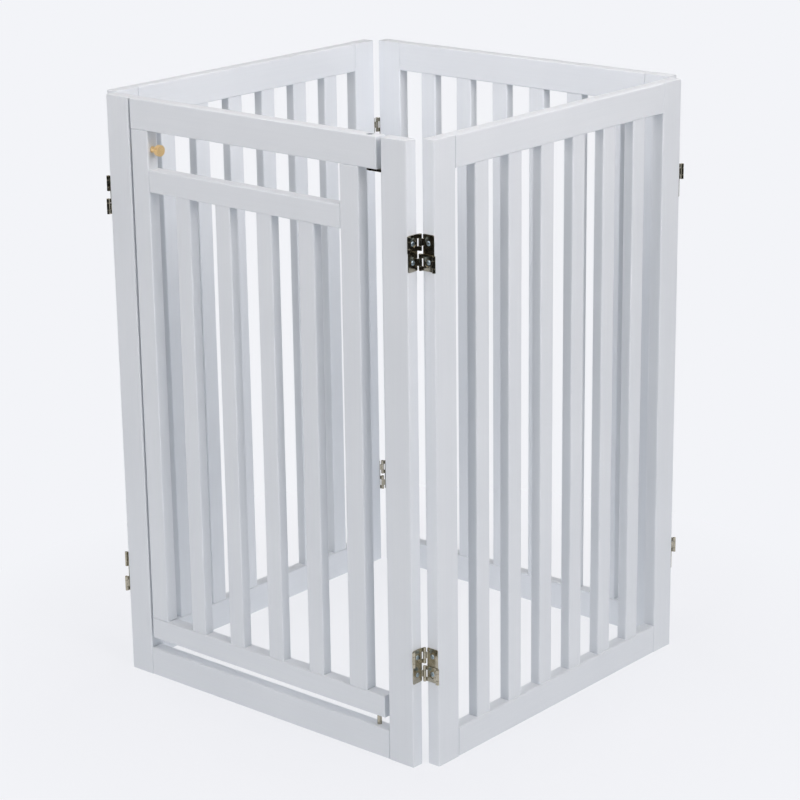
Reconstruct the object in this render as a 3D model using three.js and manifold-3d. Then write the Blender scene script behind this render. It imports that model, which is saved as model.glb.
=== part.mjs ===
// A free-standing folding pet gate: four white wooden panels hinged corner to corner into a square pen.
// The front panel is a frame that holds a small door, hung on pivots and held by a sliding wooden bolt.
// Millimetres, +Z up. The origin is on the floor at the centre of the pen, and the door faces -Y.
import * as THREE from "three";
import { mergeVertices } from "three/addons/utils/BufferGeometryUtils.js";
import Module from "manifold-3d";

const wasm = await Module();
wasm.setup();

// ---------------------------------------------------------------- driving dimensions

const PANEL_WIDTH = 508;
const PANEL_HEIGHT = 800;
const BOARD = 18; // thickness of every stile and rail
const STILE_WIDTH = 40;
const RAIL_HEIGHT = 40;
const EASED_EDGE = 1.6; // flat taken off the long edges of every piece of wood
const JOINT_LINE = 0.3; // gap left between pieces that are glued or screwed together
const OVERRUN = 1; // how far a cutter passes the faces that it opens

const SLAT_WIDTH = 26;
const SLAT_THICKNESS = 15;
const PANEL_SLATS = 6;

// Door, inside the front frame. Its heights are above the floor.
const LATCH_GAP = 3.3; // between the front frame's left stile and the door
const DOOR_WIDTH = 417.7;
const DOOR_BOTTOM = 55;
const DOOR_STILE_WIDTH = 30;
const DOOR_BOTTOM_RAIL = 30;
const DOOR_MID_RAIL = 30;
const DOOR_TOP_RAIL = 40;
const DOOR_WINDOW = 50; // open band between the mid rail and the top rail
const DOOR_SLATS = 4;
const HINGE_STILE_INSET = 29; // from the door's hinge end to its hinge stile
const PIVOT_INSET = 16.5; // from the door's hinge end to the pivot axis

// Door pivots.
const PIVOT_RADIUS = 3;
const PIVOT_HOLE_RADIUS = 3.5;
const PIVOT_HEAD_RADIUS = 5;
const PIVOT_HEAD_HEIGHT = 2.2;
const PIVOT_FOOT_PROUD = 1; // how far the top pin shows under its bracket
const BOTTOM_PIN_DEPTH = 20; // how far the bottom pin stands in the threshold, and in the door
const BRACKET_SHEET = 3;
const BRACKET_WIDTH = 10;
const BRACKET_DROP = 38; // down the stile
const BRACKET_SCREWS = [17, 30]; // below the top of the bracket
const BRACKET_SCREW_HOLE_RADIUS = 1.5;

// Latch bolt, one turned dowel with a knob.
const BOLT_RADIUS = 4;
const BOLT_HOLE_RADIUS = 4.5;
const BOLT_SOCKET_DEPTH = 12;
const BOLT_TIP_PROUD = 2.1; // beyond the latch stile's edge, with the bolt drawn back
const BOLT_TIP_CHAMFER = 1;
const KNOB_RADIUS = 7.5;
const KNOB_NECK = 6.8;
const KNOB_FLARE = 4;
const KNOB_HEAD = 5.2;
const KNOB_ROUNDING = 1.5;

// Double-action hinges: a leaf on each panel's end face, and two crossing links with a pin at each end.
const CORNER_GAP = 4.9; // between neighbouring panels, both ways
const AXIS_PAST_END = 3.6; // from a panel's end face to its hinge axes
const AXIS_PAST_FACE = CORNER_GAP - AXIS_PAST_END; // from its inner or outer face to them
const HINGE_HEIGHT = 45;
const HINGE_FROM_PANEL_END = 136; // centre of each hinge, from the panel's top or bottom
const HINGE_MIDDLE_GAP = 4; // between the upper link and the lower one
const LINK_KNUCKLE = 5.5;
const KNUCKLE_RADIUS = 2.1;
const HINGE_PIN_RADIUS = 1.1;
const KNUCKLE_BORE_RADIUS = 1.4;
const HINGE_SHEET = 0.7;
const HINGE_CLEARANCE = 0.3;
const LEAF_BEHIND = 0.1; // between a leaf and the wood
const LEAF_EDGE_MARGIN = 0.6; // bare wood beside a leaf
const LINK_WINDOW = [4.2, 5.3]; // half width and half height of the oval hole in each link
const LINK_NOTCH = 4.2; // from a hinge axis to the link's plate, where the leaf's knuckle turns
const PIN_END_INSET = 1; // from a knuckle's outer end to its pin's

// ---------------------------------------------------------------- derived dimensions

const HALF_PANEL = PANEL_WIDTH / 2;
const PANEL_FROM_CENTRE = HALF_PANEL + CORNER_GAP + BOARD / 2;
const AXIS_FROM_MIDPLANE = BOARD / 2 + AXIS_PAST_FACE;

const DOOR_LEFT = -HALF_PANEL + STILE_WIDTH + LATCH_GAP;
const DOOR_RIGHT = DOOR_LEFT + DOOR_WIDTH;
const LATCH_STILE_RIGHT = DOOR_LEFT + DOOR_STILE_WIDTH;
const HINGE_STILE_RIGHT = DOOR_RIGHT - HINGE_STILE_INSET;
const HINGE_STILE_LEFT = HINGE_STILE_RIGHT - DOOR_STILE_WIDTH;
const DOOR_STILE_BOTTOM = DOOR_BOTTOM + DOOR_BOTTOM_RAIL;
const DOOR_STILE_TOP = PANEL_HEIGHT - DOOR_TOP_RAIL;
const MID_RAIL_TOP = DOOR_STILE_TOP - DOOR_WINDOW;
const MID_RAIL_BOTTOM = MID_RAIL_TOP - DOOR_MID_RAIL;
const PIVOT_X = DOOR_RIGHT - PIVOT_INSET;
const FRAME_STILE_LEFT = HALF_PANEL - STILE_WIDTH; // inner edge of the right-hand stile
const BRACKET_TOP = DOOR_STILE_TOP - HINGE_CLEARANCE;
const BOLT_HEIGHT = MID_RAIL_TOP + DOOR_WINDOW / 2;
const HINGE_HEIGHTS = { upper: PANEL_HEIGHT - HINGE_FROM_PANEL_END, lower: HINGE_FROM_PANEL_END };

// ---------------------------------------------------------------- materials

const whitePaint = new THREE.MeshStandardMaterial({ color: 0xe8e9ec, roughness: 0.45, metalness: 0 });
const nickel = new THREE.MeshStandardMaterial({ color: 0xb3aea2, roughness: 0.3, metalness: 0.9 });
const naturalWood = new THREE.MeshStandardMaterial({ color: 0xd2a35c, roughness: 0.55, metalness: 0 });

// ---------------------------------------------------------------- geometry helpers

function solidOf(geometry) {
  const bare = geometry.clone();
  bare.deleteAttribute("normal");
  bare.deleteAttribute("uv");
  const merged = mergeVertices(bare, 1e-4);
  return new wasm.Manifold(
    new wasm.Mesh({
      numProp: 3,
      vertProperties: new Float32Array(merged.attributes.position.array),
      triVerts: new Uint32Array(merged.index.array),
    }),
  );
}

function geometryOf(solid) {
  const mesh = solid.getMesh();
  const indexed = new THREE.BufferGeometry();
  indexed.setAttribute("position", new THREE.BufferAttribute(new Float32Array(mesh.vertProperties), 3));
  indexed.setIndex(new THREE.BufferAttribute(new Uint32Array(mesh.triVerts), 1));
  const flat = indexed.toNonIndexed();
  flat.computeVertexNormals();
  return flat;
}

const join = (pieces) => geometryOf(pieces.map(solidOf).reduce((whole, piece) => whole.add(piece)));

const cut = (geometry, tools) =>
  geometryOf(tools.map(solidOf).reduce((whole, tool) => whole.subtract(tool), solidOf(geometry)));

// A box given by its low and high corners.
function block([x0, y0, z0], [x1, y1, z1]) {
  const box = new THREE.BoxGeometry(x1 - x0, y1 - y0, z1 - z0);
  return box.translate((x0 + x1) / 2, (y0 + y1) / 2, (z0 + z1) / 2);
}

// A round bar along Z between two heights, or along X between two distances.
function rodZ(x, y, z0, z1, radius, sides = 24) {
  const rod = new THREE.CylinderGeometry(radius, radius, z1 - z0, sides).rotateX(Math.PI / 2);
  return rod.translate(x, y, (z0 + z1) / 2);
}

function rodX(x0, x1, z, radius, sides = 24) {
  const rod = new THREE.CylinderGeometry(radius, radius, x1 - x0, sides).rotateZ(Math.PI / 2);
  return rod.translate((x0 + x1) / 2, 0, z);
}

// A length of wood along +Z, with its long edges eased, centred on its section.
function timber(width, thickness, length) {
  const x = width / 2;
  const y = thickness / 2;
  const e = EASED_EDGE;
  const section = new THREE.Shape([
    new THREE.Vector2(-x + e, -y),
    new THREE.Vector2(x - e, -y),
    new THREE.Vector2(x, -y + e),
    new THREE.Vector2(x, y - e),
    new THREE.Vector2(x - e, y),
    new THREE.Vector2(-x + e, y),
    new THREE.Vector2(-x, y - e),
    new THREE.Vector2(-x, -y + e),
  ]);
  return new THREE.ExtrudeGeometry(section, { depth: length, bevelEnabled: false });
}

const upright = (x, width, thickness, bottom, top) =>
  timber(width, thickness, top - bottom).translate(x, 0, bottom);

const crosspiece = (left, right, height, bottom) =>
  timber(height, BOARD, right - left)
    .rotateY(Math.PI / 2)
    .translate(left, 0, bottom + height / 2);

function piece(group, name, geometry, material) {
  const mesh = new THREE.Mesh(geometry, material.clone());
  mesh.name = name;
  group.add(mesh);
  return mesh;
}

// Centres of a number of slats spread evenly between two edges.
function slatCentres(left, right, count) {
  const gap = (right - left - count * SLAT_WIDTH) / (count + 1);
  return Array.from({ length: count }, (_, i) => left + gap + SLAT_WIDTH / 2 + i * (gap + SLAT_WIDTH));
}

// ---------------------------------------------------------------- hinges

// The hinge's own frame: +X away from the panel's end face, Y across the board with the pen's outside
// at -Y, and Z from the hinge's centre. A leaf's outer knuckle is in its upper half and its inner one in
// the lower half. A link lies over the upper half, with a knuckle pair and a pin at either end.
const HALF_TOP = HINGE_HEIGHT / 2;
const HALF_BOTTOM = HINGE_MIDDLE_GAP / 2;
const HALF_CENTRE = (HALF_TOP + HALF_BOTTOM) / 2;
const LEAF_KNUCKLE_HALF = HALF_CENTRE - HALF_BOTTOM - LINK_KNUCKLE - HINGE_CLEARANCE;
const LINK_BACK = LEAF_BEHIND + HINGE_SHEET + HINGE_CLEARANCE;
const HINGE_SIDES = 12;

function leafKnuckle(side, centre) {
  const y = side * AXIS_FROM_MIDPLANE;
  const low = centre - LEAF_KNUCKLE_HALF;
  const high = centre + LEAF_KNUCKLE_HALF;
  const webNear = side * (BOARD / 2 - LEAF_EDGE_MARGIN - HINGE_SHEET);
  const webFar = side * (AXIS_FROM_MIDPLANE + HINGE_SHEET / 2);
  const web = block(
    [LEAF_BEHIND, Math.min(webNear, webFar), low],
    [AXIS_PAST_END - HINGE_PIN_RADIUS, Math.max(webNear, webFar), high],
  );
  return {
    body: [rodZ(AXIS_PAST_END, y, low, high, KNUCKLE_RADIUS, HINGE_SIDES), web],
    bore: rodZ(AXIS_PAST_END, y, low - OVERRUN, high + OVERRUN, KNUCKLE_BORE_RADIUS, HINGE_SIDES),
  };
}

function hingeLeaf() {
  const edge = BOARD / 2 - LEAF_EDGE_MARGIN;
  const plate = block([LEAF_BEHIND, -edge, -HALF_TOP], [LEAF_BEHIND + HINGE_SHEET, edge, HALF_TOP]);
  const outer = leafKnuckle(-1, HALF_CENTRE);
  const inner = leafKnuckle(1, -HALF_CENTRE);
  return cut(join([plate, ...outer.body, ...inner.body]), [outer.bore, inner.bore]);
}

function hingeLink() {
  const y = AXIS_FROM_MIDPLANE;
  const front = LINK_BACK + HINGE_SHEET;
  const plate = block([LINK_BACK, -y, HALF_BOTTOM], [front, y, HALF_TOP]);
  const notchHalf = LEAF_KNUCKLE_HALF + HINGE_CLEARANCE;
  const notches = [-1, 1].map((side) => {
    const edges = [side * (y - LINK_NOTCH), side * (y + OVERRUN)].sort((a, b) => a - b);
    return block(
      [LINK_BACK - OVERRUN, edges[0], HALF_CENTRE - notchHalf],
      [front + OVERRUN, edges[1], HALF_CENTRE + notchHalf],
    );
  });
  const [halfWidth, halfHeight] = LINK_WINDOW;
  const window = rodX(LINK_BACK - OVERRUN, front + OVERRUN, 0, 1, HINGE_SIDES)
    .scale(1, halfWidth, halfHeight)
    .translate(0, 0, HALF_CENTRE);
  const knucklesAndPins = [-1, 1].flatMap((side) => [
    rodZ(AXIS_PAST_END, side * y, HALF_BOTTOM, HALF_BOTTOM + LINK_KNUCKLE, KNUCKLE_RADIUS, HINGE_SIDES),
    rodZ(AXIS_PAST_END, side * y, HALF_TOP - LINK_KNUCKLE, HALF_TOP, KNUCKLE_RADIUS, HINGE_SIDES),
    rodZ(
      AXIS_PAST_END, side * y, HALF_BOTTOM + PIN_END_INSET, HALF_TOP - PIN_END_INSET,
      HINGE_PIN_RADIUS, HINGE_SIDES,
    ),
  ]);
  return join([cut(plate, [...notches, window]), ...knucklesAndPins]);
}

const leafGeometry = hingeLeaf();
const linkGeometry = hingeLink();

// Both ends of a panel carry the same two pieces at each height. At its -X end they are turned over about Y.
function addHinges(group, panel) {
  for (const [height, z] of Object.entries(HINGE_HEIGHTS)) {
    for (const [side, corner] of [[1, panel.nextCorner], [-1, panel.lastCorner]]) {
      const mount = new THREE.Group();
      mount.position.set(side * HALF_PANEL, 0, z);
      mount.rotation.y = side > 0 ? 0 : Math.PI;
      piece(mount, `${corner}_${height}_hinge_${panel.name}_leaf`, leafGeometry, nickel);
      piece(mount, `${corner}_${height}_hinge_${panel.name}_link`, linkGeometry, nickel);
      group.add(mount);
    }
  }
}

// ---------------------------------------------------------------- plain panels

// Two stiles, a top rail, and a bottom rail whose slats are tenoned into it.
function addSlattedPanel(group, name) {
  const stileX = HALF_PANEL - STILE_WIDTH / 2;
  const railEnd = HALF_PANEL - STILE_WIDTH - JOINT_LINE;
  const railBottom = PANEL_HEIGHT - RAIL_HEIGHT;
  piece(group, `${name}_first_stile`, upright(-stileX, STILE_WIDTH, BOARD, 0, PANEL_HEIGHT), whitePaint);
  piece(group, `${name}_second_stile`, upright(stileX, STILE_WIDTH, BOARD, 0, PANEL_HEIGHT), whitePaint);
  piece(group, `${name}_top_rail`, crosspiece(-railEnd, railEnd, RAIL_HEIGHT, railBottom), whitePaint);
  const slats = slatCentres(-HALF_PANEL + STILE_WIDTH, HALF_PANEL - STILE_WIDTH, PANEL_SLATS).map((x) =>
    upright(x, SLAT_WIDTH, SLAT_THICKNESS, RAIL_HEIGHT - EASED_EDGE, railBottom - JOINT_LINE),
  );
  const comb = join([crosspiece(-railEnd, railEnd, RAIL_HEIGHT, 0), ...slats]);
  piece(group, `${name}_bottom_rail_and_slats`, comb, whitePaint);
}

// ---------------------------------------------------------------- front panel

function addFrontFrame(group) {
  const stileX = HALF_PANEL - STILE_WIDTH / 2;
  const socketMouth = -HALF_PANEL + STILE_WIDTH;
  const socket = rodX(
    socketMouth - BOLT_SOCKET_DEPTH, socketMouth + OVERRUN, BOLT_HEIGHT, BOLT_HOLE_RADIUS,
  );
  const recess = block(
    [FRAME_STILE_LEFT - OVERRUN, -BRACKET_WIDTH / 2 - JOINT_LINE, BRACKET_TOP - BRACKET_DROP - JOINT_LINE],
    [FRAME_STILE_LEFT + BRACKET_SHEET + JOINT_LINE, BRACKET_WIDTH / 2 + JOINT_LINE, BRACKET_TOP + JOINT_LINE],
  );
  const leftStile = cut(upright(-stileX, STILE_WIDTH, BOARD, 0, PANEL_HEIGHT), [socket]);
  const rightStile = cut(upright(stileX, STILE_WIDTH, BOARD, 0, PANEL_HEIGHT), [recess]);
  piece(group, "front_left_stile", leftStile, whitePaint);
  piece(group, "front_right_stile", rightStile, whitePaint);

  const railEnd = HALF_PANEL - STILE_WIDTH - JOINT_LINE;
  const pinFoot = RAIL_HEIGHT - BOTTOM_PIN_DEPTH;
  const pinHole = rodZ(PIVOT_X, 0, pinFoot - JOINT_LINE, RAIL_HEIGHT + OVERRUN, PIVOT_HOLE_RADIUS);
  piece(group, "front_threshold", cut(crosspiece(-railEnd, railEnd, RAIL_HEIGHT, 0), [pinHole]), whitePaint);
  const pinTop = DOOR_BOTTOM + BOTTOM_PIN_DEPTH;
  piece(group, "door_bottom_pivot_pin", rodZ(PIVOT_X, 0, pinFoot, pinTop, PIVOT_RADIUS), nickel);
  piece(group, "door_top_pivot_bracket", topBracket(), nickel);
}

// An angle whose round-ended shelf holds the top pin under the door's top rail. Its flange is let in flush
// with the edge of the right-hand stile, and screwed there.
function topBracket() {
  const right = FRAME_STILE_LEFT + BRACKET_SHEET;
  const y = BRACKET_WIDTH / 2;
  const shelfBottom = BRACKET_TOP - BRACKET_SHEET;
  const shelf = block([PIVOT_X, -y, shelfBottom], [right, y, BRACKET_TOP]);
  const shelfEnd = rodZ(PIVOT_X, 0, shelfBottom, BRACKET_TOP, y);
  const flange = block([FRAME_STILE_LEFT, -y, BRACKET_TOP - BRACKET_DROP], [right, y, BRACKET_TOP]);
  const pinHole = rodZ(PIVOT_X, 0, shelfBottom - OVERRUN, BRACKET_TOP + OVERRUN, PIVOT_HOLE_RADIUS);
  const screwHoles = BRACKET_SCREWS.map((drop) =>
    rodX(FRAME_STILE_LEFT - OVERRUN, right + OVERRUN, BRACKET_TOP - drop, BRACKET_SCREW_HOLE_RADIUS),
  );
  return cut(join([shelf, shelfEnd, flange]), [pinHole, ...screwHoles]);
}

function addDoor(group) {
  const slatTop = MID_RAIL_BOTTOM - JOINT_LINE;
  const slatBottom = DOOR_STILE_BOTTOM + JOINT_LINE;
  const stileTop = DOOR_STILE_TOP - JOINT_LINE;
  const stileX = [DOOR_LEFT, HINGE_STILE_LEFT].map((left) => left + DOOR_STILE_WIDTH / 2);

  const socketTop = DOOR_BOTTOM + BOTTOM_PIN_DEPTH + JOINT_LINE;
  const pinSocket = rodZ(PIVOT_X, 0, DOOR_BOTTOM - OVERRUN, socketTop, PIVOT_HOLE_RADIUS);
  const bottomRail = crosspiece(DOOR_LEFT, DOOR_RIGHT, DOOR_BOTTOM_RAIL, DOOR_BOTTOM);
  piece(group, "door_bottom_rail", cut(bottomRail, [pinSocket]), whitePaint);

  const midRail = crosspiece(
    LATCH_STILE_RIGHT + JOINT_LINE, HINGE_STILE_LEFT - JOINT_LINE, DOOR_MID_RAIL, MID_RAIL_BOTTOM,
  );
  piece(group, "door_mid_rail", midRail, whitePaint);

  const headSeat = PANEL_HEIGHT - PIVOT_HEAD_HEIGHT - 2 * JOINT_LINE;
  const topRail = cut(crosspiece(DOOR_LEFT, DOOR_RIGHT, DOOR_TOP_RAIL, DOOR_STILE_TOP), [
    rodZ(PIVOT_X, 0, DOOR_STILE_TOP - OVERRUN, PANEL_HEIGHT + OVERRUN, PIVOT_HOLE_RADIUS),
    rodZ(PIVOT_X, 0, headSeat - JOINT_LINE, PANEL_HEIGHT + OVERRUN, PIVOT_HEAD_RADIUS + 2 * JOINT_LINE),
  ]);
  piece(group, "door_top_rail", topRail, whitePaint);
  const pinFoot = BRACKET_TOP - BRACKET_SHEET - PIVOT_FOOT_PROUD;
  const topPin = join([
    rodZ(PIVOT_X, 0, pinFoot, headSeat + PIVOT_HEAD_HEIGHT / 2, PIVOT_RADIUS),
    rodZ(PIVOT_X, 0, headSeat, headSeat + PIVOT_HEAD_HEIGHT, PIVOT_HEAD_RADIUS),
  ]);
  piece(group, "door_top_pivot_pin", topPin, nickel);

  const stile = (x) => upright(x, DOOR_STILE_WIDTH, BOARD, slatBottom, stileTop);
  const boltHole = rodX(DOOR_LEFT - OVERRUN, LATCH_STILE_RIGHT + OVERRUN, BOLT_HEIGHT, BOLT_HOLE_RADIUS);
  piece(group, "door_latch_stile", cut(stile(stileX[0]), [boltHole]), whitePaint);
  piece(group, "door_hinge_stile", stile(stileX[1]), whitePaint);

  slatCentres(LATCH_STILE_RIGHT, HINGE_STILE_LEFT, DOOR_SLATS).forEach((x, i) => {
    const slat = upright(x, SLAT_WIDTH, SLAT_THICKNESS, slatBottom, slatTop);
    piece(group, `door_slat_${i + 1}`, slat, whitePaint);
  });
}

// The bolt's dowel and knob, turned about X. It is drawn back here, so that the door is free to swing.
function addLatchBolt(group) {
  const tip = -BOLT_TIP_PROUD;
  const neckEnd = DOOR_STILE_WIDTH + KNOB_NECK;
  const headStart = neckEnd + KNOB_FLARE;
  const headEnd = headStart + KNOB_HEAD;
  const profile = [
    [0, tip],
    [BOLT_RADIUS - BOLT_TIP_CHAMFER, tip],
    [BOLT_RADIUS, tip + BOLT_TIP_CHAMFER],
    [BOLT_RADIUS, neckEnd],
    [KNOB_RADIUS, headStart],
    [KNOB_RADIUS, headEnd - KNOB_ROUNDING],
    [KNOB_RADIUS - KNOB_ROUNDING, headEnd],
    [0, headEnd],
  ].map(([radius, along]) => new THREE.Vector2(radius, along));
  const turned = new THREE.LatheGeometry(profile, 20).rotateZ(-Math.PI / 2);
  const bolt = piece(group, "latch_bolt_and_knob", geometryOf(solidOf(turned)), naturalWood);
  bolt.position.set(DOOR_LEFT, 0, BOLT_HEIGHT);
}

// ---------------------------------------------------------------- the pen

// Seen from above, the panels run anticlockwise, and each one's +X end meets the next.
const PANELS = [
  { name: "front", lastCorner: "front_left", nextCorner: "front_right" },
  { name: "right", lastCorner: "front_right", nextCorner: "back_right" },
  { name: "back", lastCorner: "back_right", nextCorner: "back_left" },
  { name: "left", lastCorner: "back_left", nextCorner: "front_left" },
];

const pen = new THREE.Group();
PANELS.forEach((panel, quarterTurns) => {
  const turn = new THREE.Group();
  turn.rotation.z = (quarterTurns * Math.PI) / 2;
  const group = new THREE.Group();
  group.position.set(0, -PANEL_FROM_CENTRE, 0);
  turn.add(group);
  pen.add(turn);
  addHinges(group, panel);
  if (panel.name === "front") {
    addFrontFrame(group);
    addDoor(group);
    addLatchBolt(group);
  } else {
    addSlattedPanel(group, panel.name);
  }
});

export default pen;
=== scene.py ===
"""A white folding pet gate, set up as a square pen. In metres, with +Z up and the door facing -Y."""

import math

import bmesh
import bpy
from mathutils import Matrix, Vector


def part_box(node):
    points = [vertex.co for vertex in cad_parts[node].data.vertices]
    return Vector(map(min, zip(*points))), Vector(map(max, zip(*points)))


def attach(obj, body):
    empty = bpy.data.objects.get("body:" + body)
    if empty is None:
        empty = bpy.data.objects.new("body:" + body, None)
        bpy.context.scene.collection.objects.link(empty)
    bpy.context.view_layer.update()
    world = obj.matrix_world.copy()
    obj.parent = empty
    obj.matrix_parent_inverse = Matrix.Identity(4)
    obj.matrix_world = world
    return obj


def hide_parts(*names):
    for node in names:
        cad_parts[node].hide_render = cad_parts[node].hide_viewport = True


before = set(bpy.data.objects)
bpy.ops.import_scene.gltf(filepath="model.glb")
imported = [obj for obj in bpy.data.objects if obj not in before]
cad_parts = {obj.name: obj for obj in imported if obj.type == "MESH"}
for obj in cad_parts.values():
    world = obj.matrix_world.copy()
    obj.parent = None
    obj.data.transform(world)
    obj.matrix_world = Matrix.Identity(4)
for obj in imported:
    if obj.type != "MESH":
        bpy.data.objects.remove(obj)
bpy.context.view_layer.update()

MM = 0.001

# ---------------------------------------------------------------- sizes that the frame's boxes don't give

OVERRUN = MM              # how far a cutter passes the faces that it opens
LONG_EDGE = 2.0 * MM      # rounding along a board
END_EDGE = 0.8 * MM       # rounding round a board's end
LEAST_CORNER = 0.3 * MM   # of a board's section, where its end rounding eats into it
MID_RAIL_EDGE = 1.4 * MM  # rounding round the ends of the door's mid rail
SLAT_INTO_RAIL = 3 * MM   # how far a slat runs on inside its rails
TENON_INSET = 1.2 * MM    # from a board's faces to the tenon that shows in its joint line
TENON_REACH = MM          # how far a tenon runs on past its joint line
TENON_EDGES = dict(edge=0.5 * MM, end=0.2 * MM, end_steps=1)   # what bar_mesh takes for a tenon
RECESS_EDGES = dict(edge=0.6 * MM, end=0.4 * MM, end_steps=1)  # the same for the bracket's recess
SLAT_WIDTH = 26 * MM
SLAT_THICKNESS = 15 * MM
RAIL_HEIGHT = 40 * MM
PANEL_SLATS = 6
DOOR_SLATS = 4

HINGE_SHEET = 0.7 * MM
HINGE_EDGE = 0.17 * MM    # rounding on the sheet's edges
AXIS_OUT = 3.6 * MM       # from the panel's end face to a hinge axis
AXIS_SIDE = 10.3 * MM     # from the board's middle plane to it
ROLL_RADIUS = 1.75 * MM   # of the middle of the rolled sheet
LEAF_MIDDLE = 0.45 * MM   # from the end face to the middle of the leaf's sheet
LINK_MIDDLE = 1.45 * MM   # the same for the link's sheet
LEAF_HALF = (8.4 * MM, 22.5 * MM)  # half width and half height
LEAF_CORNER = 1.6 * MM
LINK_ROWS = (2.0 * MM, 7.5 * MM, 17.0 * MM, 22.5 * MM)  # lower knuckle's ends, then the upper one's
LEAF_TONGUE = (7.8 * MM, 16.7 * MM)  # ends of the leaf's own knuckle, between the link's
TONGUE_SLOT = 0.3 * MM    # cut beside the leaf's tongue
TONGUE_ROOT = 6.9 * MM    # from the middle plane to where the leaf's tongue leaves it
TAB_ROOT = 6.1 * MM       # the same for the link's tabs
WINDOW_CENTRE = 12.25 * MM
WINDOW_HALF = (4.2 * MM, 5.3 * MM)   # of the oval hole in each link
WINDOW_ROWS = [9.9 * MM, WINDOW_CENTRE, 14.6 * MM]  # heights of the link's faces beside it
SCREW_HEIGHT = 11.6 * MM  # above and below the hinge's middle
SCREW_HEAD = 3.0 * MM
SCREW_SHANK = 1.5 * MM
SCREW_IN_WOOD = MM        # length of the shank that is modelled, behind the end face
SCREW_CROSS = ((1.0 * MM, 0.3 * MM), (1.95 * MM, 0.48 * MM))  # half length and half width, at floor and mouth
SCREW_TURN = 37           # degrees from one hinge screw's cross to the next one's
SCREW_SEAT = LEAF_MIDDLE + HINGE_SHEET / 2  # from the end face to the leaf's outside, under a screw's rim
SLOT_FACES = [(3, 2, 1, 0), (4, 5, 6, 7), (0, 1, 5, 4), (1, 2, 6, 5), (2, 3, 7, 6), (3, 0, 4, 7)]  # of a box
PIN_RADIUS = 1.1 * MM
PIN_ENDS = (2.5 * MM, 22.2 * MM)  # a little inside the link's knuckles
PIN_DOME = 0.5 * MM       # height of the dome on a pin's end

BRACKET_SHEET = 3.0 * MM
BRACKET_BEND = 2.4 * MM   # radius of the middle of its sheet, where it turns down
BRACKET_SHELF_CORNER = 4.9 * MM
BRACKET_FOOT_CORNER = 2.5 * MM
BRACKET_SCREW_DROPS = (17 * MM, 30 * MM)  # below the bracket's top
BRACKET_SCREW_SUNK = 0.5 * MM
BRACKET_EDGE = 0.3 * MM   # rounding on its edges
RECESS_GAP = 0.3 * MM     # round the bracket's flange, where it is let into the stile
PIVOT_RADIUS = 3 * MM
PIVOT_HOLE = 3.3 * MM
PIVOT_BRACKET_HOLE = 3.5 * MM
PIVOT_HOLE_DEPTH = 21 * MM
PIVOT_EASE = 0.6 * MM     # bevel on a pivot pin's ends
PIVOT_HEAD = 2.2 * MM     # height of the top pin's head
PIVOT_SEAT = 2.6 * MM     # depth of the recess round it
PIVOT_SEAT_RADIUS = 5.5 * MM
BOLT_RADIUS = 4 * MM
BOLT_HOLE = 4.5 * MM
BOLT_SOCKET_DEPTH = 12 * MM
BOLT_TIP_ROUNDING = MM
KNOB_LENGTH = 9.2 * MM
KNOB_RADIUS = 7.5 * MM
KNOB_RIM = 1.4 * MM       # rounding round the knob's face
KNOB_WAIST = 3.4 * MM     # radius of the dowel behind the knob


# ---------------------------------------------------------------- places, all read from the frame

def centre(node):
    low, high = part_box(node)
    return (low + high) / 2


PANEL_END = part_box("front_right_stile")[1].x
PANEL_FROM_CENTRE = -centre("front_right_stile").y
PANELS = ("front", "right", "back", "left")
BODY = {"front": "front_frame", "right": "right_panel", "back": "back_panel", "left": "left_panel"}


def panel_matrix(panel):
    """From a panel's own frame, where it runs along X with the pen's outside at -Y, to the row frame."""
    turn = Matrix.Rotation(PANELS.index(panel) * math.pi / 2, 4, "Z")
    return turn @ Matrix.Translation((0, -PANEL_FROM_CENTRE, 0))


def local_box(node, panel):
    back = panel_matrix(panel).inverted()
    a, b = (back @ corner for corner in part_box(node))
    low = Vector([min(a[i], b[i]) for i in range(3)])
    high = Vector([max(a[i], b[i]) for i in range(3)])
    return low, high


# ---------------------------------------------------------------- mesh helpers

def add_object(name, mesh):
    made = bpy.data.objects.new(name, mesh)
    bpy.context.scene.collection.objects.link(made)
    return made


def mesh_of(name, vertices, faces):
    mesh = bpy.data.meshes.new(name)
    mesh.from_pydata(vertices, [], faces)
    mesh.update()
    return mesh


def apply_modifiers(piece):
    bpy.context.view_layer.update()
    evaluated = piece.evaluated_get(bpy.context.evaluated_depsgraph_get())
    mesh = bpy.data.meshes.new_from_object(evaluated)
    piece.modifiers.clear()
    piece.data = mesh


def even_shading(piece, sharp_degrees=35):
    """Smooth shading that keeps broad faces flat and reads every rounded edge as round."""
    for polygon in piece.data.polygons:
        polygon.use_smooth = True
    piece.data.set_sharp_from_angle(angle=math.radians(sharp_degrees))
    piece.modifiers.new("Even shading", "WEIGHTED_NORMAL").keep_sharp = True
    apply_modifiers(piece)


def section_points(half_u, half_v, radius, steps=5):
    """The outline of a rectangle with rounded corners, anticlockwise."""
    points = []
    for quarter, (u, v) in enumerate(((1, 1), (-1, 1), (-1, -1), (1, -1))):
        for step in range(steps + 1):
            angle = (quarter + step / steps) * math.pi / 2
            points.append((u * (half_u - radius) + radius * math.cos(angle),
                           v * (half_v - radius) + radius * math.sin(angle)))
    return points


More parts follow.
